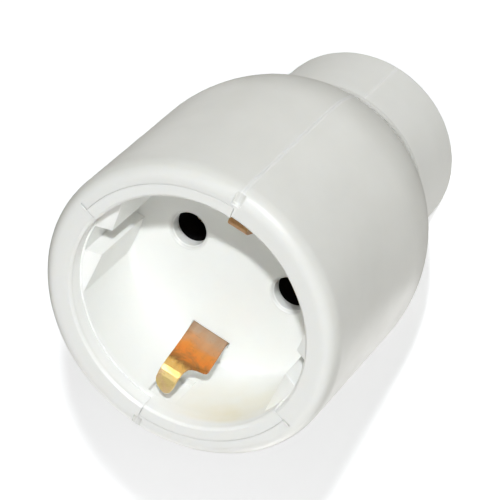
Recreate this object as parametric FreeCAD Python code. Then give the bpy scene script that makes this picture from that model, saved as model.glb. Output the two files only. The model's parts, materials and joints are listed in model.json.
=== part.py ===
import FreeCAD, Part
import math
import os

os.makedirs("parts", exist_ok=True)
V = FreeCAD.Vector

# ---------------------------------------------------------------------------
# Inline socket connector (earthed two-pin, side earth clips), millimetres.
# +Z is the mouth direction.  The origin is the centre of the collar's rear
# end face, on which the connector stands.  X is the line through the two pin
# holes, Y the line through the two earth clips.
# ---------------------------------------------------------------------------

# outer form
LEN = 65.7             # overall length, collar end to mouth
R_BODY = 24.85         # barrel radius
RIM_ROUND = 2.5        # round on the outer front edge
BARREL_LEN = 30.1      # straight barrel, measured back from the mouth
SHOULDER_B = 24.65     # shoulder ellipse, radial half axis
SHOULDER_A = 25.66     # shoulder ellipse, axial half axis
SHOULDER_R0 = 0.20     # shoulder ellipse, centre offset from the axis
R_SHOULDER_END = 17.42 # radius at which the shoulder stops behind the collar
WALL = 2.35            # shell wall

# rear collar
Z_COLLAR = 15.7        # front face of the collar, a little clear of the shoulder
R_COLLAR_REAR = 16.85
R_COLLAR_FRONT = 17.39
COLLAR_ROUND = 1.2     # round on the rear outer edge
COLLAR_BACK = 3.2      # thickness of the rear wall
R_COLLAR_BORE = 14.95  # threaded bore (plain here)
R_CABLE_HOLE = 5.2     # hole in the rear wall

# rear spigot of the shells, inside the collar
R_SPIGOT = 14.80
R_SPIGOT_BORE = 12.0
Z_SPIGOT = 6.2
Z_SHELF = 20.0         # inside shelf where the shoulder meets the spigot

# front rim
LIP = 3.0              # thickness of the shells' front lip
R_LIP = 19.8           # mouth radius in the lip
R_ARC = 21.60          # outer radius of the insert's two front arcs
ARC_GAP = 0.04         # joint between arc and lip
ARC_FROM, ARC_TO = 90.2, 162.0   # degrees; the second arc is half a turn on
MOUTH_CHAMFER = 0.4
SEAM_HIGH = 0.10       # height of the fine moulded bead along the parting line
SEAM_SLIM = 0.111      # section of the bead: the outer form, narrowed across the parting plane
PRY_W, PRY_D = 1.5, 0.75         # pry notches where the shells meet at the rim

# socket insert
DEPTH = 18.3           # recess depth
FLOOR_T = 2.2
R_RECESS = 19.5
FLOOR_ROUND = 1.2      # round between the recess wall and its floor
R_CUP = 21.6
R_FLANGE = 22.4
FLANGE_T = 2.5
PAD_X = 16.9           # flat of the side guide pads
PAD_SLOPE = 0.577      # slope of the pads' lead-in
KEYWAY_HALF = 2.5      # keyway between the pads, on the pin line
PIN_PITCH = 19.0
R_PIN_HOLE = 2.9
PIN_CHAMFER = 0.45

# contacts
R_SLEEVE_IN = 2.45
R_SLEEVE = 3.3
R_SHANK = 3.0
Z_SLEEVE_TOP = 39.4
Z_WEB_TOP = 32.5
Z_WEB_BOTTOM = 29.5
R_TUBE_IN = 4.0
R_TUBE = 5.2
R_CARRIER = 17.0
BLOCK = 7.0            # terminal block, square
Z_BLOCK = 20.5

# earth strap
STRAP_T = 0.7
CLIP_Y = 15.0          # clip centre line at the recess floor
LEAN_UPPER = 0.95      # the clip on the -Y side stands this much nearer to the wall

Z_MOUTH = LEN
Z_FLOOR = LEN - DEPTH
Z_UNDER = Z_FLOOR - FLOOR_T
Z_LIP = LEN - LIP
Z_BARREL = LEN - BARREL_LEN
PX = PIN_PITCH / 2.0


# ------------------------------------------------------------------ helpers
def box(x0, x1, y0, y1, z0, z1):
    return Part.makeBox(x1 - x0, y1 - y0, z1 - z0, V(x0, y0, z0))


def cyl(r, z0, z1, x=0.0, y=0.0):
    return Part.makeCylinder(r, z1 - z0, V(x, y, z0), V(0, 0, 1))


def cyl_x(r, x0, x1, y, z):
    return Part.makeCylinder(r, x1 - x0, V(x0, y, z), V(1, 0, 0))


def cyl_y(r, y0, y1, x, z):
    return Part.makeCylinder(r, y1 - y0, V(x, y0, z), V(0, 1, 0))


def cone(r0, r1, z0, z1, x=0.0, y=0.0):
    return Part.makeCone(r0, r1, z1 - z0, V(x, y, z0), V(0, 0, 1))


def rz(points):
    """Edges of a straight-sided half section given as (r, z) points."""
    return [Part.LineSegment(V(a[0], 0, a[1]), V(b[0], 0, b[1])).toShape()
            for a, b in zip(points[:-1], points[1:])]


def turn(edges):
    """Turn a closed half section about Z."""
    face = Part.Face(Part.Wire(edges))
    return face.revolve(V(0, 0, 0), V(0, 0, 1), 360)


def ring(r_in, r_out, z0, z1, a0=None, a1=None):
    edges = rz([(r_in, z0), (r_out, z0), (r_out, z1), (r_in, z1), (r_in, z0)])
    face = Part.Face(Part.Wire(edges))
    if a0 is None:
        return face.revolve(V(0, 0, 0), V(0, 0, 1), 360)
    face.rotate(V(0, 0, 0), V(0, 0, 1), a0)
    return face.revolve(V(0, 0, 0), V(0, 0, 1), a1 - a0)


def extrude_polygon(points, vec):
    pts = [V(*p) for p in points]
    pts.append(pts[0])
    return Part.Face(Part.makePolygon(pts)).extrude(V(*vec))


def solid(shape):
    """One clean solid."""
    s = shape.removeSplitter()
    if len(s.Solids) == 1:
        return s.Solids[0]
    return s


def half_turn(shape):
    s = shape.copy()
    s.rotate(V(0, 0, 0), V(0, 0, 1), 180)
    return s


def mirror_y(shape):
    return shape.mirror(V(0, 0, 0), V(0, 1, 0))


def save(name, shape):
    if isinstance(shape, list):
        shape = Part.makeCompound(shape)
    shape.exportStep("parts/%s.step" % name)
    print("%-22s solids %d volume %9.1f valid %s" % (
        name, len(shape.Solids), sum(s.Volume for s in shape.Solids), shape.isValid()))


# ------------------------------------------------------------ outer profile
def ellipse_r(z, b, a, r0, zc):
    return r0 + b * math.sqrt(max(0.0, 1.0 - ((zc - z) / a) ** 2))


def ellipse_z(r, b, a, r0, zc):
    return zc - a * math.sqrt(max(0.0, 1.0 - ((r - r0) / b) ** 2))


def ellipse_arc(b, a, r0, zc, z_end):
    """Quarter-ellipse edge from the barrel down to z_end."""
    e = Part.Ellipse(V(r0, 0, zc - a), V(r0 + b, 0, zc), V(r0, 0, zc))
    u_end = math.acos((zc - z_end) / a)
    return Part.ArcOfEllipse(e, u_end, math.pi / 2.0).toShape()


def outer_solid(off=0.0):
    """Outside of the closed body, set in by off along the surface."""
    rb = R_BODY - off
    e = RIM_ROUND - off
    b, a = SHOULDER_B - off, SHOULDER_A - off
    z_end = ellipse_z(R_SHOULDER_END, SHOULDER_B, SHOULDER_A, SHOULDER_R0, Z_BARREL)
    r_end = ellipse_r(z_end, b, a, SHOULDER_R0, Z_BARREL)
    top = LEN - off
    edges = []
    edges += rz([(0, z_end), (r_end, z_end)])
    edges.append(ellipse_arc(b, a, SHOULDER_R0, Z_BARREL, z_end))
    edges += rz([(SHOULDER_R0 + b, Z_BARREL), (rb, top - e)])
    mid = math.sqrt(0.5) * e
    edges.append(Part.Arc(V(rb, 0, top - e), V(rb - e + mid, 0, top - e + mid),
                          V(rb - e, 0, top)).toShape())
    edges += rz([(rb - e, top), (0, top), (0, z_end)])
    return turn(Part.__sortEdges__(edges)), z_end


body_outer, Z_SHOULDER_END = outer_solid()


def slim(shape, k):
    """Copy of a shape narrowed along X."""
    m = FreeCAD.Matrix()
    m.scale(k, 1.0, 1.0)
    return shape.transformGeometry(m)



# ------------------------------------------------------------- body shells
bi, ai = SHOULDER_B - WALL, SHOULDER_A - WALL
r_in = SHOULDER_R0 + bi
r_shelf = ellipse_r(Z_SHELF, bi, ai, SHOULDER_R0, Z_BARREL)
edges = rz([(0, Z_SPIGOT - 1), (R_SPIGOT_BORE, Z_SPIGOT - 1), (R_SPIGOT_BORE, Z_SHELF),
            (r_shelf, Z_SHELF)])
edges.append(ellipse_arc(bi, ai, SHOULDER_R0, Z_BARREL, Z_SHELF))
edges += rz([(r_in, Z_BARREL), (r_in, Z_LIP), (R_LIP, Z_LIP), (R_LIP, LEN + 1),
             (0, LEN + 1), (0, Z_SPIGOT - 1)])
inside = turn(Part.__sortEdges__(edges))

bead = slim(outer_solid(-SEAM_HIGH)[0], SEAM_SLIM)
bead = bead.common(box(-5, 5, -40, 40, Z_SHOULDER_END, LEN - PRY_D + 0.05))
shell = body_outer.fuse(bead)
shell = shell.fuse(cyl(R_SPIGOT, Z_SPIGOT, Z_SHOULDER_END + 0.5))
shell = shell.cut(inside)
# ring behind the insert's flange
Z_FLANGE = Z_LIP - FLANGE_T
shell = shell.fuse(ring(R_CUP + 0.1, r_in + 0.3, Z_FLANGE - 2.4, Z_FLANGE - 0.05))
# lip opened for the insert's two front arcs
for turn_a in (0.0, 180.0):
    shell = shell.cut(ring(R_LIP - 2.0, R_ARC + ARC_GAP, Z_LIP - 0.01, LEN + 1,
                           ARC_FROM + turn_a - 0.2, ARC_TO + turn_a + 0.2))
    # short radial joint at the end of each arc
    tick = box(R_ARC, R_ARC + 1.35, -0.14, 0.14, LEN - 0.5, LEN + 1)
    tick.rotate(V(0, 0, 0), V(0, 0, 1), ARC_TO + turn_a + 0.1)
    shell = shell.cut(tick)
# mouth edge
shell = shell.cut(cone(R_LIP, R_LIP + MOUTH_CHAMFER * 2, LEN - MOUTH_CHAMFER, LEN + MOUTH_CHAMFER))
# pry notches on the parting line
for s in (-1, 1):
    shell = shell.cut(box(-PRY_W / 2, PRY_W / 2, min(s * 22.1, s * 26), max(s * 22.1, s * 26),
                          LEN - PRY_D, LEN + 1))
shell = shell.cut(cyl(R_SPIGOT - 0.0, Z_SPIGOT, Z_SPIGOT + 0.6).cut(
    cone(R_SPIGOT - 0.6, R_SPIGOT, Z_SPIGOT, Z_SPIGOT + 0.6)))

half_pos = box(0, 40, -40, 40, -1, 80)
half_neg = box(-40, 0, -40, 40, -1, 80)
shell_left = shell.common(half_pos)
shell_right = shell.common(half_neg)

# cord clamp seat, moulded in the left shell
CLAMP_Z = 13.0
CLAMP_Y = 6.8
BAR_X = -3.2
for s in (-1, 1):
    boss = cyl_x(2.4, BAR_X, 12.6, s * CLAMP_Y, CLAMP_Z).common(cyl(13.2, 5, 22))
    shell_left = shell_left.fuse(boss)
    shell_left = shell_left.cut(cyl_x(1.1, BAR_X - 1, 6.0, s * CLAMP_Y, CLAMP_Z))
saddle = box(3.2, 13.0, -4.0, 4.0, CLAMP_Z - 1.2, CLAMP_Z + 1.2).common(cyl(13.2, 5, 22))
saddle = saddle.cut(cyl(4.4, 5, 22))
shell_left = shell_left.fuse(saddle)

save("body_shell_left", solid(shell_left))
save("body_shell_right", solid(shell_right))

# ------------------------------------------------------------- rear collar
edges = rz([(R_CABLE_HOLE, 0), (R_COLLAR_REAR - COLLAR_ROUND, 0)])
m = math.sqrt(0.5) * COLLAR_ROUND
edges.append(Part.Arc(V(R_COLLAR_REAR - COLLAR_ROUND, 0, 0),
                      V(R_COLLAR_REAR - COLLAR_ROUND + m, 0, COLLAR_ROUND - m),
                      V(R_COLLAR_REAR, 0, COLLAR_ROUND)).toShape())
edges += rz([(R_COLLAR_REAR, COLLAR_ROUND), (R_COLLAR_FRONT, Z_COLLAR - 0.35),
             (R_COLLAR_FRONT - 0.35, Z_COLLAR), (R_COLLAR_BORE + 0.5, Z_COLLAR),
             (R_COLLAR_BORE, Z_COLLAR - 0.5), (R_COLLAR_BORE, COLLAR_BACK),
             (R_CABLE_HOLE, COLLAR_BACK), (R_CABLE_HOLE, 0)])
collar = turn(Part.__sortEdges__(edges))
# fine mould line on the collar, in line with the shells' parting line
line = cone(R_COLLAR_REAR + 0.07, R_COLLAR_FRONT + 0.07, COLLAR_ROUND, Z_COLLAR - 0.35)
line = slim(line, 0.128).cut(cyl(R_COLLAR_BORE + 0.8, 0, 20))
save("rear_collar", solid(collar.fuse(line)))

# -------------------------------------------------- cable bush, slip washer
edges = rz([(4.0, 0.6), (5.1, 0.6), (5.1, COLLAR_BACK), (13.6, COLLAR_BACK),
            (13.6, 5.2), (4.6, 5.2), (4.0, 4.6), (4.0, 0.6)])
save("cable_bush", solid(turn(edges)))
save("slip_washer", ring(5.0, 14.2, 5.2, Z_SPIGOT))

# ------------------------------------------------------------ socket insert
cup = cyl(R_CUP, Z_UNDER, Z_LIP)
cup = cup.fuse(cyl(R_FLANGE, Z_FLANGE, Z_LIP))
for turn_a in (0.0, 180.0):
    cup = cup.fuse(ring(R_RECESS - 0.5, R_ARC, Z_LIP - 0.5, Z_MOUTH,
                        ARC_FROM + turn_a, ARC_TO + turn_a))
edges = rz([(0, Z_FLOOR), (R_RECESS - FLOOR_ROUND, Z_FLOOR)])
m = math.sqrt(0.5) * FLOOR_ROUND
edges.append(Part.Arc(V(R_RECESS - FLOOR_ROUND, 0, Z_FLOOR),
                      V(R_RECESS - FLOOR_ROUND + m, 0, Z_FLOOR + FLOOR_ROUND - m),
                      V(R_RECESS, 0, Z_FLOOR + FLOOR_ROUND)).toShape())
edges += rz([(R_RECESS, Z_FLOOR + FLOOR_ROUND), (R_RECESS, Z_MOUTH + 1), (0, Z_MOUTH + 1),
             (0, Z_FLOOR)])
cup = cup.cut(turn(Part.__sortEdges__(edges)))
cup = cup.cut(cone(R_RECESS, R_RECESS + 2 * MOUTH_CHAMFER,
                   Z_MOUTH - MOUTH_CHAMFER, Z_MOUTH + MOUTH_CHAMFER))
# side guide pads: flats with a sloping lead-in, a keyway on the pin line
slope_h = (R_RECESS + 0.1 - 15.5) * PAD_SLOPE
blank = turn(rz([(15.5, Z_FLOOR - 0.2), (R_RECESS + 0.1, Z_FLOOR - 0.2),
                 (R_RECESS + 0.1, Z_LIP - 0.05), (15.5, Z_LIP - 0.05 - slope_h),
                 (15.5, Z_FLOOR - 0.2)]))
for sx in (-1, 1):
    for sy in (-1, 1):
        x0, x1 = sorted((sx * PAD_X, sx * 22.0))
        y0, y1 = sorted((sy * KEYWAY_HALF, sy * 12.0))
        cup = cup.fuse(blank.common(box(x0, x1, y0, y1, Z_FLOOR - 0.3, Z_MOUTH)))
# pin holes with a small lead-in
for s in (-1, 1):
    cup = cup.cut(cyl(R_PIN_HOLE, Z_UNDER - 1, Z_FLOOR + 1, s * PX))
    cup = cup.cut(cone(R_PIN_HOLE, R_PIN_HOLE + 2 * PIN_CHAMFER,
                       Z_FLOOR - PIN_CHAMFER, Z_FLOOR + PIN_CHAMFER, s * PX))
# slots for the earth clips, and pockets in the wall behind their tips
CLIP_X0, CLIP_X1 = -4.1, 2.6
for s in (-1, 1):
    y0, y1 = sorted((s * (CLIP_Y - 0.45), s * (CLIP_Y + 0.72)))
    cup = cup.cut(box(CLIP_X0 - 0.2, CLIP_X1 + 0.2, y0, y1, Z_UNDER - 1, Z_FLOOR + 1))
    # relief under the floor for the bend at the clip's root
    y0, y1 = sorted((s * (CLIP_Y - 1.2), s * (CLIP_Y + 0.72)))
    cup = cup.cut(box(CLIP_X0 - 0.2, CLIP_X1 + 0.2, y0, y1, Z_UNDER - 1, Z_UNDER + 0.6))
    pocket = box(-3.6, 1.3, min(0, s * 30), max(0, s * 30), 54.5, Z_LIP - 0.9).common(
        cyl(R_RECESS + 1.25, 50, 70))
    cup = cup.cut(pocket)
# bosses for the carrier screws, relief over the earth stud
BOSS = [(9.0, 11.0), (-9.0, -11.0)]
for bx, by in BOSS:
    cup = cup.fuse(cyl(3.0, Z_WEB_TOP, Z_UNDER + 0.5, bx, by))
    cup = cup.cut(cyl(1.25, Z_WEB_TOP - 1, 42.5, bx, by))
cup = cup.cut(cyl(2.2, Z_UNDER - 1, Z_UNDER + 0.7))
save("socket_insert", solid(cup))

# --------------------------------------------------------- contact carrier
carrier = cyl(R_CARRIER, Z_WEB_BOTTOM, Z_WEB_TOP)
for s in (-1, 1):
    carrier = carrier.fuse(cyl(R_TUBE, Z_WEB_TOP - 0.5, Z_UNDER - 0.05, s * PX))
for s in (-1, 1):
    carrier = carrier.cut(cyl(R_TUBE_IN, Z_WEB_TOP, Z_UNDER + 1, s * PX))
    carrier = carrier.cut(cyl(R_SHANK + 0.05, Z_WEB_BOTTOM - 1, Z_WEB_TOP + 1, s * PX))
carrier = carrier.cut(cyl(4.0, Z_WEB_BOTTOM - 1, Z_WEB_TOP + 1))
for bx, by in BOSS:
    carrier = carrier.cut(cyl(1.6, Z_WEB_BOTTOM - 1, Z_WEB_TOP + 1, bx, by))
# room for the earth clips' roots
for s in (-1, 1):
    carrier = carrier.cut(box(-6.5, 4.5, min(s * 12.8, s * 20), max(s * 12.8, s * 20),
                              Z_WEB_BOTTOM - 1, Z_WEB_TOP + 1))
save("contact_carrier", solid(carrier))


# ----------------------------------------------------------------- screws
def pan_screw(r, length, head_r, head_h, slot_w=0.7):
    """Slotted screw along +Z, the underside of its head at z = 0."""
    s = cyl(r, -0.3, length - 0.5).fuse(cone(r, r - 0.45, length - 0.5, length))
    head = cyl(head_r, -head_h, 0)
    rim = [e for e in head.Edges if abs(e.BoundBox.ZMin + head_h) < 1e-6
           and abs(e.BoundBox.ZMax + head_h) < 1e-6]
    head = head.makeFillet(min(0.5, head_h * 0.4), rim)
    s = s.fuse(head)
    s = s.cut(box(-head_r - 1, head_r + 1, -slot_w / 2, slot_w / 2, -head_h - 1, -head_h * 0.5))
    return solid(s)


def put(shape, axis, pos):
    """Copy of a +Z piece turned to point along axis and moved to pos."""
    s = shape.copy()
    rot = FreeCAD.Rotation(V(0, 0, 1), V(*axis))
    s.Placement = FreeCAD.Placement(V(*pos), rot)
    return s


plate_screw = pan_screw(1.25, 12.0, 2.7, 1.9)
save("carrier_screws", [put(plate_screw, (0, 0, 1), (bx, by, Z_WEB_BOTTOM)) for bx, by in BOSS])

# ------------------------------------------------- line and neutral contacts
def contact(x):
    c = cyl(R_SLEEVE, Z_WEB_TOP + 0.5, Z_SLEEVE_TOP, x)
    c = c.fuse(cyl(3.85, Z_WEB_TOP, Z_WEB_TOP + 1.0, x))
    c = c.fuse(cyl(R_SHANK, 27.8, Z_WEB_TOP + 0.2, x))
    c = c.cut(cyl(R_SLEEVE_IN, 27.0, Z_SLEEVE_TOP + 1, x))
    c = c.cut(cone(R_SLEEVE_IN, R_SLEEVE_IN + 0.9, Z_SLEEVE_TOP - 0.45, Z_SLEEVE_TOP + 0.45, x))
    c = c.cut(box(x - 0.4, x + 0.4, -5, 5, Z_WEB_TOP + 2.2, Z_SLEEVE_TOP + 1))
    return solid(c)


save("line_contact", contact(PX))
save("neutral_contact", contact(-PX))

for name, x in (("line_contact_spring", PX), ("neutral_contact_spring", -PX)):
    sp = ring(R_SLEEVE, R_SLEEVE + 0.45, 35.6, 38.4)
    sp = sp.cut(box(-0.6, 0.6, 0, 6, 35, 39))
    sp.translate(V(x, 0, 0))
    save(name, solid(sp))


def terminal(x, s):
    t = box(x - BLOCK / 2, x + BLOCK / 2, -BLOCK / 2, BLOCK / 2, Z_BLOCK, Z_WEB_BOTTOM)
    upright = [e for e in t.Edges if abs(e.BoundBox.ZLength - (Z_WEB_BOTTOM - Z_BLOCK)) < 1e-6]
    t = t.makeChamfer(0.6, upright)
    t = t.cut(cyl(R_SHANK, 27.5, Z_WEB_BOTTOM + 1, x))
    t = t.cut(cyl(1.6, Z_BLOCK - 1, 26.5, x))
    x0, x1 = sorted((x, x + s * 6))
    t = t.cut(cyl_x(1.5, x0, x1, 0, 23.6))
    return solid(t)


save("line_terminal", terminal(PX, 1))
save("neutral_terminal", terminal(-PX, -1))

wire_screw = pan_screw(1.5, 2.6, 2.5, 1.8)
x_head = PX + BLOCK / 2 + 0.4
save("terminal_screws", [put(wire_screw, (-1, 0, 0), (x_head, 0, 23.6)),
                         put(wire_screw, (1, 0, 0), (-x_head, 0, 23.6))])


# ------------------------------------------------------------- earth strap
def strip(points, t):
    """Closed outline of a bent strip of thickness t along (y, z) points."""
    left, right = [], []
    n = len(points)
    for i, (y, z) in enumerate(points):
        d = []
        if i > 0:
            d.append((y - points[i - 1][0], z - points[i - 1][1]))
        if i < n - 1:
            d.append((points[i + 1][0] - y, points[i + 1][1] - z))
        u = [(a / math.hypot(a, b), b / math.hypot(a, b)) for a, b in d]
        if len(u) == 2:
            nx, ny = -(u[0][1] + u[1][1]), u[0][0] + u[1][0]
            k = math.hypot(nx, ny)
            nx, ny = nx / k, ny / k
            c = nx * -u[0][1] + ny * u[0][0]
            h = t / 2 / c
        else:
            nx, ny, h = -u[0][1], u[0][0], t / 2
        left.append((y + nx * h, z + ny * h))
        right.append((y - nx * h, z - ny * h))
    return left + right[::-1]


def arc_points(cy, cz, r, a0, a1, n):
    return [(cy + r * math.cos(math.radians(a0 + (a1 - a0) * i / n)),
             cz + r * math.sin(math.radians(a0 + (a1 - a0) * i / n))) for i in range(n + 1)]


Z_STRAP = Z_UNDER - STRAP_T / 2          # centre line of the strap's base
# outline of a clip seen along Y: wide root, narrow offset tongue
outline = [(-4.0, 43.0), (-4.0, 48.0), (-5.2, 56.6), (-5.15, 57.2), (-4.75, 57.6), (-3.6, 57.95),
           (-3.0, 58.3), (-2.6, 58.8), (-2.4, 59.5), (-2.3, 60.2), (-2.3, 63.0), (1.0, 63.0),
           (1.05, 60.6), (1.15, 59.0), (1.35, 57.0), (CLIP_X1, 47.4), (CLIP_X1, 43.0)]
# outline of its tip seen along Z: a rounded end
tip = [(-2.3, 15.5), (-2.3, 16.9), (-2.1, 17.5), (-1.7, 17.85), (-1.2, 17.95), (-0.6, 17.8),
       (0.1, 17.45), (0.65, 16.95), (0.95, 16.3), (1.0, 15.5)]


def clip(lean):
    """One clip on its half of the strap; lean sets its upper end out towards the wall."""
    path = [(10.0, Z_STRAP)]
    path += arc_points(CLIP_Y - 1.0, Z_STRAP + 1.0, 1.0, -90, 0, 6)
    rise = [(CLIP_Y, Z_FLOOR), (14.50, 53.0), (14.13, 56.0), (13.98, 57.6), (14.03, 59.0),
            (14.17, 59.8), (14.48, 60.5), (15.0, 61.1), (15.7, 61.5), (16.5, 61.75), (18.3, 62.05)]
    path += [(y + lean * min(1.0, (z - Z_FLOOR) / 10.0), z) for y, z in rise]
    arm = extrude_polygon([(-6.0, y, z) for y, z in strip(path, STRAP_T)], (12.0, 0, 0))
    arm = arm.common(extrude_polygon([(x, 8.0, z) for x, z in outline], (0, 14.0, 0)))
    plan = [(-6.0, 5.0), (-6.0, 15.4 + lean)] + [(x, y + lean) for x, y in tip]
    plan += [(4.0, 15.4 + lean), (4.0, 5.0)]
    arm = arm.common(extrude_polygon([(x, y, 40.0) for x, y in plan], (0, 0, 30.0)))
    return arm.cut(box(-6, -2.6, 5, 12.0, 43, 46))


strap = box(-2.6, CLIP_X1, -10.2, 10.2, Z_UNDER - STRAP_T, Z_UNDER)
strap = strap.fuse(clip(0.0)).fuse(mirror_y(clip(LEAN_UPPER)))
strap = strap.cut(cyl(1.2, Z_UNDER - 3, Z_UNDER + 1))
save("earth_strap", solid(strap))

# earth terminal, with a stud spun over on top of the strap
z_top = Z_UNDER - STRAP_T
earth = box(-3.0, 3.0, -3.5, 3.5, 36.5, z_top)
upright = [e for e in earth.Edges if abs(e.BoundBox.ZLength - (z_top - 36.5)) < 1e-6]
earth = earth.makeChamfer(0.5, upright)
earth = earth.fuse(cyl(1.2, z_top - 0.3, Z_UNDER + 0.2))
earth = earth.fuse(cone(1.9, 1.4, Z_UNDER, Z_UNDER + 0.45))
earth = earth.cut(cyl(1.6, 35.5, 42.0))
earth = earth.cut(cyl_y(1.5, 0, 6, 0, 39.4))
save("earth_terminal", solid(earth))
save("earth_screw", put(wire_screw, (0, -1, 0), (0, 3.5 + 0.4, 39.4)))

# -------------------------------------------------------------- cord clamp
bar = box(BAR_X - 3.0, BAR_X, -9.2, 9.2, CLAMP_Z - 2.6, CLAMP_Z + 2.6)
bar = bar.common(cyl(11.2, 5, 22))
bar = bar.cut(cyl(4.4, 5, 22))
for s in (-1, 1):
    bar = bar.cut(cyl_x(1.3, -8, 0, s * CLAMP_Y, CLAMP_Z))
    bar = bar.cut(cyl_x(2.15, -8, BAR_X - 1.5, s * CLAMP_Y, CLAMP_Z))
save("cord_clamp_bar", solid(bar))
clamp_screw = pan_screw(1.1, 8.5, 2.0, 1.4)
save("cord_clamp_screws", [put(clamp_screw, (1, 0, 0), (BAR_X - 1.5, s * CLAMP_Y, CLAMP_Z))
                           for s in (-1, 1)])
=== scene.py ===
import json
import math

import bpy
from mathutils import Matrix, Vector

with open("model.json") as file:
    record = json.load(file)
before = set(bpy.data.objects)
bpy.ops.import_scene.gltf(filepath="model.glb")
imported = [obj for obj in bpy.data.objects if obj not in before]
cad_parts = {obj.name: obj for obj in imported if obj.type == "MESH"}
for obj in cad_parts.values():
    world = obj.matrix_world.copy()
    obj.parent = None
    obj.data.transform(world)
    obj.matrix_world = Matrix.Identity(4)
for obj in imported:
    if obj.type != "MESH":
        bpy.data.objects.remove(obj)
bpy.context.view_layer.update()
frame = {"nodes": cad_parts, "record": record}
nodes = frame["nodes"]

MM = 0.001
scene = bpy.context.scene

# ------------------------------------------------------------------ camera
cam_data = bpy.data.cameras.new("camera")
cam = bpy.data.objects.new("camera", cam_data)
scene.collection.objects.link(cam)
right = Vector((-0.8288, -0.3461, -0.4396)).normalized()
back = Vector((-0.1730, -0.5888, 0.7896)).normalized()
up = back.cross(right).normalized()
right = up.cross(back).normalized()
loc = Vector((-0.07060, -0.24096, 0.36621))
cam.matrix_world = Matrix((
    (right.x, up.x, back.x, loc.x),
    (right.y, up.y, back.y, loc.y),
    (right.z, up.z, back.z, loc.z),
    (0, 0, 0, 1)))
cam_data.sensor_width = 36.0
cam_data.lens = 187.33
cam_data.clip_start = 0.01
cam_data.clip_end = 20.0
scene.camera = cam


# --------------------------------------------------------------- node tools
class Tree:
    """Small helper round one material's node tree."""

    def __init__(self, name):
        self.mat = bpy.data.materials.new(name)
        self.mat.use_nodes = True
        self.t = self.mat.node_tree
        self.t.nodes.clear()
        self.out = self.t.nodes.new("ShaderNodeOutputMaterial")
        self.bsdf = self.t.nodes.new("ShaderNodeBsdfPrincipled")
        self.t.links.new(self.bsdf.outputs[0], self.out.inputs[0])
        self.coord = self.t.nodes.new("ShaderNodeTexCoord")

    def put(self, **values):
        for k, v in values.items():
            self.bsdf.inputs[k.replace("_", " ")].default_value = v

    def node(self, kind, **props):
        n = self.t.nodes.new(kind)
        for k, v in props.items():
            setattr(n, k, v)
        return n

    def link(self, a, b):
        self.t.links.new(a, b)

    def noise(self, scale, detail=3.0, rough=0.5, stretch=None, distortion=0.0):
        n = self.node("ShaderNodeTexNoise")
        n.inputs["Scale"].default_value = scale
        n.inputs["Detail"].default_value = detail
        n.inputs["Roughness"].default_value = rough
        n.inputs["Distortion"].default_value = distortion
        if stretch:
            m = self.node("ShaderNodeMapping")
            m.inputs["Scale"].default_value = stretch
            self.link(self.coord.outputs["Object"], m.inputs["Vector"])
            self.link(m.outputs["Vector"], n.inputs["Vector"])
        else:
            self.link(self.coord.outputs["Object"], n.inputs["Vector"])
        return n.outputs["Fac"]

    def ramp(self, fac, stops):
        r = self.node("ShaderNodeValToRGB")
        e = r.color_ramp.elements
        while len(e) > len(stops):
            e.remove(e[-1])
        while len(e) < len(stops):
            e.new(0.5)
        for el, (p, c) in zip(e, stops):
            el.position = p
            el.color = (*c, 1.0) if len(c) == 3 else c
        self.link(fac, r.inputs["Fac"])
        return r.outputs["Color"]

    def span(self, fac, lo, hi, a=0.0, b=1.0):
        m = self.node("ShaderNodeMapRange")
        m.inputs["From Min"].default_value = a
        m.inputs["From Max"].default_value = b
        m.inputs["To Min"].default_value = lo
        m.inputs["To Max"].default_value = hi
        self.link(fac, m.inputs["Value"])
        return m.outputs["Result"]

    def math(self, op, a, b):
        m = self.node("ShaderNodeMath", operation=op)
        for i, v in enumerate((a, b)):
            if isinstance(v, (int, float)):
                m.inputs[i].default_value = v
            else:
                self.link(v, m.inputs[i])
        return m.outputs[0]

    def mix(self, fac, a, b):
        m = self.node("ShaderNodeMix", data_type="RGBA")
        if isinstance(fac, (int, float)):
            m.inputs["Factor"].default_value = fac
        else:
            self.link(fac, m.inputs["Factor"])
        for name, v in (("A", a), ("B", b)):
            sock = [s for s in m.inputs if s.name == name and s.type == "RGBA"][0]
            if isinstance(v, tuple):
                sock.default_value = (*v, 1.0)
            else:
                self.link(v, sock)
        return [s for s in m.outputs if s.type == "RGBA"][0]

    def bump(self, height, strength, distance, normal=None):
        b = self.node("ShaderNodeBump")
        b.inputs["Strength"].default_value = strength
        b.inputs["Distance"].default_value = distance
        self.link(height, b.inputs["Height"])
        if normal is not None:
            self.link(normal, b.inputs["Normal"])
        return b.outputs["Normal"]


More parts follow.
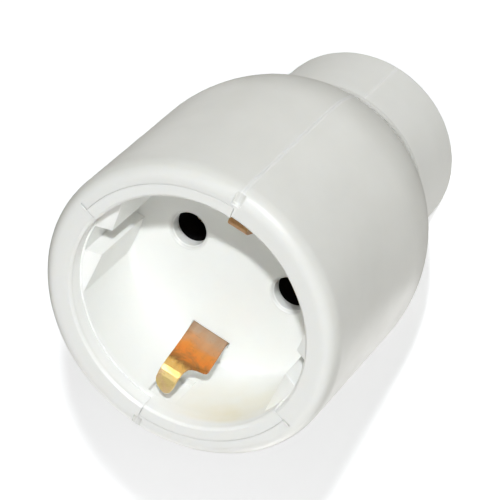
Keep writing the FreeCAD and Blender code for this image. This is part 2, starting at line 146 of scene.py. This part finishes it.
def white_plastic(name, light, dark, rough, grain, soften, painted_warm_bounce=None, line=0.0, painted_joint_shade=None, painted_mouth_light=None, painted_hole_shade=None):
    """Moulded white plastic: faint clouding and flow marks, a fine eroded grain, softened edges."""
    t = Tree(name)
    cloud = t.noise(90.0, 4.0, 0.55)
    speck = t.noise(1400.0, 2.0, 0.6)
    flow = t.noise(60.0, 3.0, 0.6, (1.0, 1.0, 0.18), 0.8)
    base = t.ramp(cloud, [(0.30, dark), (0.62, light)])
    base = t.mix(t.span(speck, 0.0, 0.10, 0.58, 0.75), base, tuple(c * 0.93 for c in light))
    base = t.mix(t.span(flow, 0.0, 0.35, 0.52, 0.72), base, tuple(c * k for c, k in zip(light, (0.985, 0.98, 0.965))))
    if line or painted_joint_shade or painted_mouth_light or painted_hole_shade or painted_warm_bounce:
        xyz = t.node("ShaderNodeSeparateXYZ")
        t.link(t.coord.outputs["Object"], xyz.inputs[0])
    if painted_mouth_light:
        # painted light: the mouth's front face is lighter than the barrel, most on the +Y side away from the near key
        # light, standing in for light falling on it
        low, high, painted_shade_tint, painted_light_tint = painted_mouth_light
        tint = t.mix(t.span(xyz.outputs["Y"], 0.0, 1.0, -0.020, 0.020), painted_shade_tint, painted_light_tint)
        base = t.mix(t.span(xyz.outputs["Z"], 0.0, 0.9, low, high), base, tint)
        # painted light: the wall of the mouth just inside is lightened too, where it lies in shade
        wide = t.math("SQRT", t.math("ADD", t.math("POWER", t.math("ABSOLUTE", xyz.outputs["X"], 0.0), 2.0),
                                     t.math("POWER", t.math("ABSOLUTE", xyz.outputs["Y"], 0.0), 2.0)), 0.0)
        inner = t.math("MULTIPLY", t.span(wide, 1.0, 0.0, 0.0201, 0.0207), t.span(xyz.outputs["Z"], 0.0, 1.0, 0.0615, 0.0622))
        inner = t.math("MULTIPLY", inner, t.span(xyz.outputs["Z"], 1.0, 0.0, low, high))
        base = t.mix(inner, base, painted_light_tint)
    if line:
        # painted highlight: the mould line on the parting plane is lighter than the skin beside it, standing in for
        # light caught by the seam's ridge
        off = t.math("ABSOLUTE", xyz.outputs["X"], 0.0)
        seam_highlight = t.span(off, line, 0.0, 0.00014, 0.00045)
        base = t.mix(seam_highlight, base, (0.93, 0.93, 0.92))
    if painted_joint_shade:
        # painted shade: darker towards where the shoulder runs into the collar, standing in for the shade in that
        # crease
        low, high, tint, most = painted_joint_shade
        near = t.span(xyz.outputs["Z"], 1.0, 0.0, low, high)
        near = t.math("MULTIPLY", t.math("POWER", near, 1.6), most)
        near = t.math("MULTIPLY", near, t.span(t.noise(350.0, 4.0, 0.6), 0.8, 1.0, 0.3, 0.6))
        base = t.mix(near, base, tint)
    if painted_hole_shade:
        # painted shade: a grey ring on the lead-in of each pin hole, less on the wall behind it, standing in for shade
        # at each hole's mouth
        pitch, reach, tint = painted_hole_shade
        dx = t.math("SUBTRACT", t.math("ABSOLUTE", xyz.outputs["X"], 0.0), pitch)
        away = t.math("SQRT", t.math("ADD", t.math("POWER", t.math("ABSOLUTE", dx, 0.0), 2.0),
                                     t.math("POWER", t.math("ABSOLUTE", xyz.outputs["Y"], 0.0), 2.0)), 0.0)
        ring = t.math("MULTIPLY", t.span(away, 0.85, 0.0, reach, reach + 0.0005),
                      t.span(away, 0.1, 1.0, reach - 0.00018, reach - 0.00004))
        base = t.mix(ring, base, tint)
    if painted_warm_bounce:
        # painted light: a warm yellow tint round one place beside the lower clip's gold tip, standing in for the warm
        # light that tip reflects
        centre, radius, tint = painted_warm_bounce
        off = t.node("ShaderNodeVectorMath", operation="DISTANCE")
        t.link(t.coord.outputs["Object"], off.inputs[0])
        off.inputs[1].default_value = centre
        near = t.span(off.outputs["Value"], 1.0, 0.0, 0.0, radius)
        near = t.math("MULTIPLY", near, t.span(t.noise(160.0, 3.0, 0.6), 0.55, 1.0, 0.3, 0.6))
        near = t.math("MULTIPLY", near, t.span(xyz.outputs["Z"], 1.0, 0.1, 0.0630, 0.0642))
        base = t.mix(near, base, tint)
    t.link(base, t.bsdf.inputs["Base Color"])
    t.link(t.span(t.noise(260.0, 3.0, 0.6), rough - 0.05, rough + 0.06, 0.3, 0.7),
           t.bsdf.inputs["Roughness"])
    edge = t.node("ShaderNodeBevel", samples=6)
    edge.inputs["Radius"].default_value = soften
    n = t.bump(t.noise(55.0, 1.0, 0.4), 0.10, 0.0004, edge.outputs["Normal"])
    n = t.bump(t.noise(2600.0, 2.0, 0.55), grain, 0.00006, n)
    t.link(n, t.bsdf.inputs["Normal"])
    t.put(IOR=1.5, Specular_IOR_Level=0.5, Subsurface_Weight=0.12, Subsurface_Scale=0.0008)
    t.bsdf.inputs["Subsurface Radius"].default_value = (1.0, 0.9, 0.75)
    return t.mat


def clip_copper(name):
    """Rolled copper alloy strip: drawn lines, tarnish stains, and colours from the root to the gold tip that paint the
    reflections, shade and highlight on its bends.
    """
    t = Tree(name)
    xyz = t.node("ShaderNodeSeparateXYZ")
    t.link(t.coord.outputs["Object"], xyz.inputs[0])
    lines = t.noise(900.0, 3.0, 0.65, (1.0, 1.0, 0.08))
    cloud = t.noise(260.0, 4.0, 0.6, None, 0.6)
    height = t.math("ADD", xyz.outputs["Z"], t.span(cloud, -0.0017, 0.0017, 0.25, 0.75))
    along = t.span(height, 0.0, 1.0, 0.0470, 0.0620)
    # painted light up the strip: the pale root and orange middle paint reflections on its bends, the dark band before
    # the tip is painted shade, and the bright gold tip is partly its own colour and partly a painted highlight
    base = t.ramp(along, [(0.00, (0.50, 0.34, 0.23)), (0.14, (0.55, 0.36, 0.23)), (0.46, (0.84, 0.30, 0.04)),
                          (0.60, (0.84, 0.25, 0.018)), (0.73, (0.34, 0.14, 0.03)), (0.82, (0.97, 0.58, 0.15)),
                          (0.94, (1.0, 0.76, 0.32))])
    # pale peach patches on the tip, and a darker edge along one side that is painted shade where the strip's thickness
    # lies in shadow
    base = t.mix(t.math("MULTIPLY", t.span(along, 0.0, 0.8, 0.78, 0.86), t.span(cloud, 0.0, 1.0, 0.48, 0.60)),
                 base, (1.0, 0.70, 0.40))
    base = t.mix(t.span(t.math("ADD", xyz.outputs["X"], t.span(cloud, -0.0006, 0.0006, 0.3, 0.7)), 0.0, 0.75, 0.0012, 0.0026),
                 base, (0.33, 0.17, 0.07))
    base = t.mix(t.span(lines, 0.0, 0.25, 0.45, 0.7), base, (0.55, 0.25, 0.08))
    stain = t.noise(520.0, 4.0, 0.65, None, 1.2)
    base = t.mix(t.span(stain, 0.0, 0.45, 0.56, 0.74), base, (0.36, 0.17, 0.06))
    # painted shade: the clip on the -Y side is darkened to brown where it lies in shadow
    painted_shade_far = t.math("MULTIPLY", t.span(xyz.outputs["Y"], 0.9, 0.0, -0.001, 0.001), t.span(lines, 0.75, 1.0, 0.35, 0.65))
    base = t.mix(painted_shade_far, base, (0.40, 0.17, 0.055))
    t.link(base, t.bsdf.inputs["Base Color"])
    r = t.math("ADD", t.span(lines, -0.05, 0.08, 0.3, 0.7), t.span(along, 0.60, 0.40, 0.5, 0.9))
    t.link(r, t.bsdf.inputs["Roughness"])
    t.link(t.span(along, 0.40, 0.65, 0.7, 0.9), t.bsdf.inputs["Metallic"])
    edge = t.node("ShaderNodeBevel", samples=6)
    edge.inputs["Radius"].default_value = 0.00018
    n = t.bump(t.noise(180.0, 2.0, 0.5), 0.35, 0.0004, edge.outputs["Normal"])
    t.link(t.bump(lines, 0.3, 0.00005, n), t.bsdf.inputs["Normal"])
    return t.mat


def dark_plastic(name, light, dark, rough):
    t = Tree(name)
    base = t.ramp(t.noise(400.0, 4.0, 0.6), [(0.35, dark), (0.7, light)])
    t.link(base, t.bsdf.inputs["Base Color"])
    t.link(t.span(t.noise(900.0, 3.0, 0.6), rough - 0.06, rough + 0.08, 0.3, 0.7),
           t.bsdf.inputs["Roughness"])
    t.link(t.bump(t.noise(1800.0, 3.0, 0.6), 0.25, 0.0001), t.bsdf.inputs["Normal"])
    t.put(IOR=1.48)
    return t.mat


def metal(name, light, dark, tint, rough, stretch, line=0.35):
    """Rolled or turned metal: drawn lines along one axis, tarnish clouds."""
    t = Tree(name)
    lines = t.noise(900.0, 3.0, 0.65, stretch)
    cloud = t.noise(220.0, 4.0, 0.6, None, 0.6)
    base = t.ramp(cloud, [(0.28, tint), (0.46, dark), (0.66, light)])
    base = t.mix(t.span(lines, 0.0, 0.22, 0.45, 0.7), base, dark)
    t.link(base, t.bsdf.inputs["Base Color"])
    r = t.math("ADD", t.span(lines, -0.05, 0.09, 0.3, 0.7), t.span(cloud, rough + 0.07, rough - 0.03, 0.3, 0.7))
    t.link(r, t.bsdf.inputs["Roughness"])
    t.link(t.bump(lines, line, 0.00005), t.bsdf.inputs["Normal"])
    t.put(Metallic=1.0)
    return t.mat


def rubber(name, light, dark):
    t = Tree(name)
    base = t.ramp(t.noise(300.0, 5.0, 0.6), [(0.3, dark), (0.7, light)])
    t.link(base, t.bsdf.inputs["Base Color"])
    t.link(t.span(t.noise(700.0, 3.0, 0.5), 0.62, 0.82, 0.3, 0.7), t.bsdf.inputs["Roughness"])
    t.link(t.bump(t.noise(1500.0, 4.0, 0.6), 0.3, 0.0001), t.bsdf.inputs["Normal"])
    t.put(Sheen_Weight=0.15)
    return t.mat


M = {
    # the shell: painted light on the mouth's face and wall, painted shade where the shoulder meets the collar, a
    # painted highlight on the mould line
    "shell_plastic": white_plastic("shell_plastic", (0.79, 0.787, 0.757), (0.755, 0.752, 0.722), 0.38, 0.10, 0.00022,
                                   line=0.8, painted_joint_shade=(0.0190, 0.0280, (0.40, 0.39, 0.365), 0.48),
                                   painted_mouth_light=(0.0647, 0.0656, (0.84, 0.84, 0.825), (0.985, 0.985, 0.975))),
    # the collar: painted shade where it meets the shoulder
    "collar_plastic": white_plastic("collar_plastic", (0.80, 0.80, 0.777), (0.765, 0.765, 0.742), 0.42, 0.12, 0.00022,
                                    line=0.4, painted_joint_shade=(0.0156, 0.0148, (0.42, 0.41, 0.385), 0.78)),
    # the insert: painted light on its front face, a painted warm bounce beside the lower clip's tip, and painted shade
    # round each pin hole
    "insert_plastic": white_plastic("insert_plastic", (0.955, 0.96, 0.943), (0.928, 0.933, 0.916), 0.36, 0.08, 0.00022,
                                    painted_warm_bounce=((-0.0120, 0.0148, 0.0615), 0.0135, (0.91, 0.85, 0.67)),
                                    painted_mouth_light=(0.0638, 0.0648, (0.86, 0.86, 0.845), (0.985, 0.985, 0.975)),
                                    painted_hole_shade=(0.0095, 0.0031, (0.72, 0.72, 0.705))),
    "carrier_plastic": dark_plastic("carrier_plastic", (0.012, 0.012, 0.013), (0.005, 0.005, 0.006), 0.6),
    "clamp_plastic": white_plastic("clamp_plastic", (0.72, 0.72, 0.69), (0.66, 0.66, 0.63), 0.5, 0.2, 0.0002),
    "bush_rubber": rubber("bush_rubber", (0.30, 0.30, 0.295), (0.22, 0.22, 0.215)),
    "earth_copper": clip_copper("earth_copper"),
    "contact_brass": metal("contact_brass", (0.80, 0.62, 0.30), (0.66, 0.47, 0.19), (0.60, 0.45, 0.24), 0.30, (1.0, 1.0, 6.0)),
    "spring_steel": metal("spring_steel", (0.58, 0.58, 0.60), (0.44, 0.44, 0.46), (0.40, 0.42, 0.47), 0.28, (0.2, 0.2, 2.0)),
    "screw_steel": metal("screw_steel", (0.66, 0.66, 0.65), (0.50, 0.50, 0.50), (0.56, 0.56, 0.48), 0.32, (1.0, 1.0, 1.0)),
}
slot_of = {s["node"]: s["material_slot"] for s in frame["record"]["subparts"]}
for name, obj in nodes.items():
    obj.data.materials.clear()
    obj.data.materials.append(M[slot_of[name]])
# the copper's own bounce light would tint the white plastic round it
nodes["earth_strap"].visible_diffuse = False

# ------------------------------------------------------------------- stage
floor_mesh = bpy.data.meshes.new("floor")
s = 3.0
floor_mesh.from_pydata([(-s, -s, 0), (s, -s, 0), (s, s, 0), (-s, s, 0)], [], [(0, 1, 2, 3)])
floor = bpy.data.objects.new("floor", floor_mesh)
floor.location.z = -0.00005
scene.collection.objects.link(floor)
ft = Tree("floor_white")
fc = ft.ramp(ft.noise(3.0, 2.0, 0.4), [(0.3, (0.93, 0.935, 0.96)), (0.7, (0.945, 0.95, 0.975))])
ft.link(fc, ft.bsdf.inputs["Base Color"])
ft.put(Roughness=0.9, Specular_IOR_Level=0.0, Emission_Color=(0.97, 0.98, 1.0, 1.0), Emission_Strength=0.26)
floor_mesh.materials.append(ft.mat)
floor.visible_diffuse = False
floor.visible_glossy = False
floor.visible_shadow = False

# a pale wall swept up from the floor far behind the object
turns, sweep = 96, ((2.50, -0.001), (2.66, 0.02), (2.80, 0.09), (2.89, 0.22), (2.94, 0.45), (2.96, 0.9), (2.96, 4.5))
verts = [(r * math.cos(2 * math.pi * k / turns), r * math.sin(2 * math.pi * k / turns), z)
         for r, z in sweep for k in range(turns)]
faces = [(i * turns + k, i * turns + (k + 1) % turns, (i + 1) * turns + (k + 1) % turns, (i + 1) * turns + k)
         for i in range(len(sweep) - 1) for k in range(turns)]
wall_mesh = bpy.data.meshes.new("backdrop")
wall_mesh.from_pydata(verts, [], faces)
wall_mesh.shade_smooth()
wall = bpy.data.objects.new("backdrop", wall_mesh)
scene.collection.objects.link(wall)
wt = Tree("backdrop_white")
wt.link(wt.ramp(wt.noise(1.5, 2.0, 0.4), [(0.3, (0.90, 0.91, 0.92)), (0.7, (0.93, 0.94, 0.95))]), wt.bsdf.inputs["Emission Color"])
wt.put(Base_Color=(0.0, 0.0, 0.0, 1.0), Roughness=1.0, Specular_IOR_Level=0.0, Emission_Strength=1.12)
wall_mesh.materials.append(wt.mat)
wall.visible_diffuse = False
wall.visible_glossy = False
wall.visible_shadow = False

# ------------------------------------------------------------------- light
TARGET = Vector((0.0, 0.0, 0.040))


def area(name, direction, distance, size, power, colour=(1.0, 1.0, 1.0)):
    d = Vector(direction).normalized()
    data = bpy.data.lights.new(name, "AREA")
    data.shape = "DISK"
    data.size = size
    data.energy = power
    data.color = colour
    ob = bpy.data.objects.new(name, data)
    ob.location = TARGET + d * distance
    ob.rotation_mode = "QUATERNION"
    ob.rotation_quaternion = d.to_track_quat("Z", "Y")
    ob.visible_camera = False
    scene.collection.objects.link(ob)
    return ob


def around(polar, turn):
    """Direction at an angle from the camera's axis, turned about it from the image's right."""
    p, a = math.radians(polar), math.radians(turn)
    return back * math.cos(p) + (right * math.cos(a) + up * math.sin(a)) * math.sin(p)


# one small key beside the camera, soft boxes on the open side, low bounce cards on the far side and a table
# that glows a little from below, in an even pale room
area("key", (-0.0180, -0.2115, 0.2160), 0.45, 0.018, 1.43, (0.955, 0.985, 1.0))
area("box_front", around(40, 270), 1.2, 0.7, 0.4)
area("box_left", around(80, 180), 1.2, 0.7, 1.0)
area("box_low", around(80, 270), 1.2, 0.7, 2.7)
for turn, reach, high, size, power in ((80, 0.20, 0.035, 0.12, 0.080), (120, 0.20, 0.035, 0.12, 0.140),
                                       (0, 0.10, -0.03, 0.08, 0.012), (135, 0.10, -0.03, 0.08, 0.026),
                                       (180, 0.10, -0.03, 0.08, 0.008), (225, 0.10, -0.03, 0.08, 0.010),
                                       (270, 0.10, -0.03, 0.08, 0.015), (315, 0.10, -0.03, 0.08, 0.012),
                                       (160, 0.06, -0.05, 0.06, 0.003)):
    a = math.radians(turn)
    spot = Vector((reach * math.cos(a), reach * math.sin(a), high)) - TARGET
    area("card_%d" % turn, spot, spot.length, size, power)

world = bpy.data.worlds.new("studio")
world.use_nodes = True
bg = world.node_tree.nodes["Background"]
bg.inputs["Color"].default_value = (1.0, 0.98, 0.885, 1.0)
bg.inputs["Strength"].default_value = 0.233
scene.world = world

scene.view_settings.view_transform = "Standard"
scene.view_settings.look = "None"
scene.view_settings.exposure = 0.0
scene.view_settings.gamma = 1.0
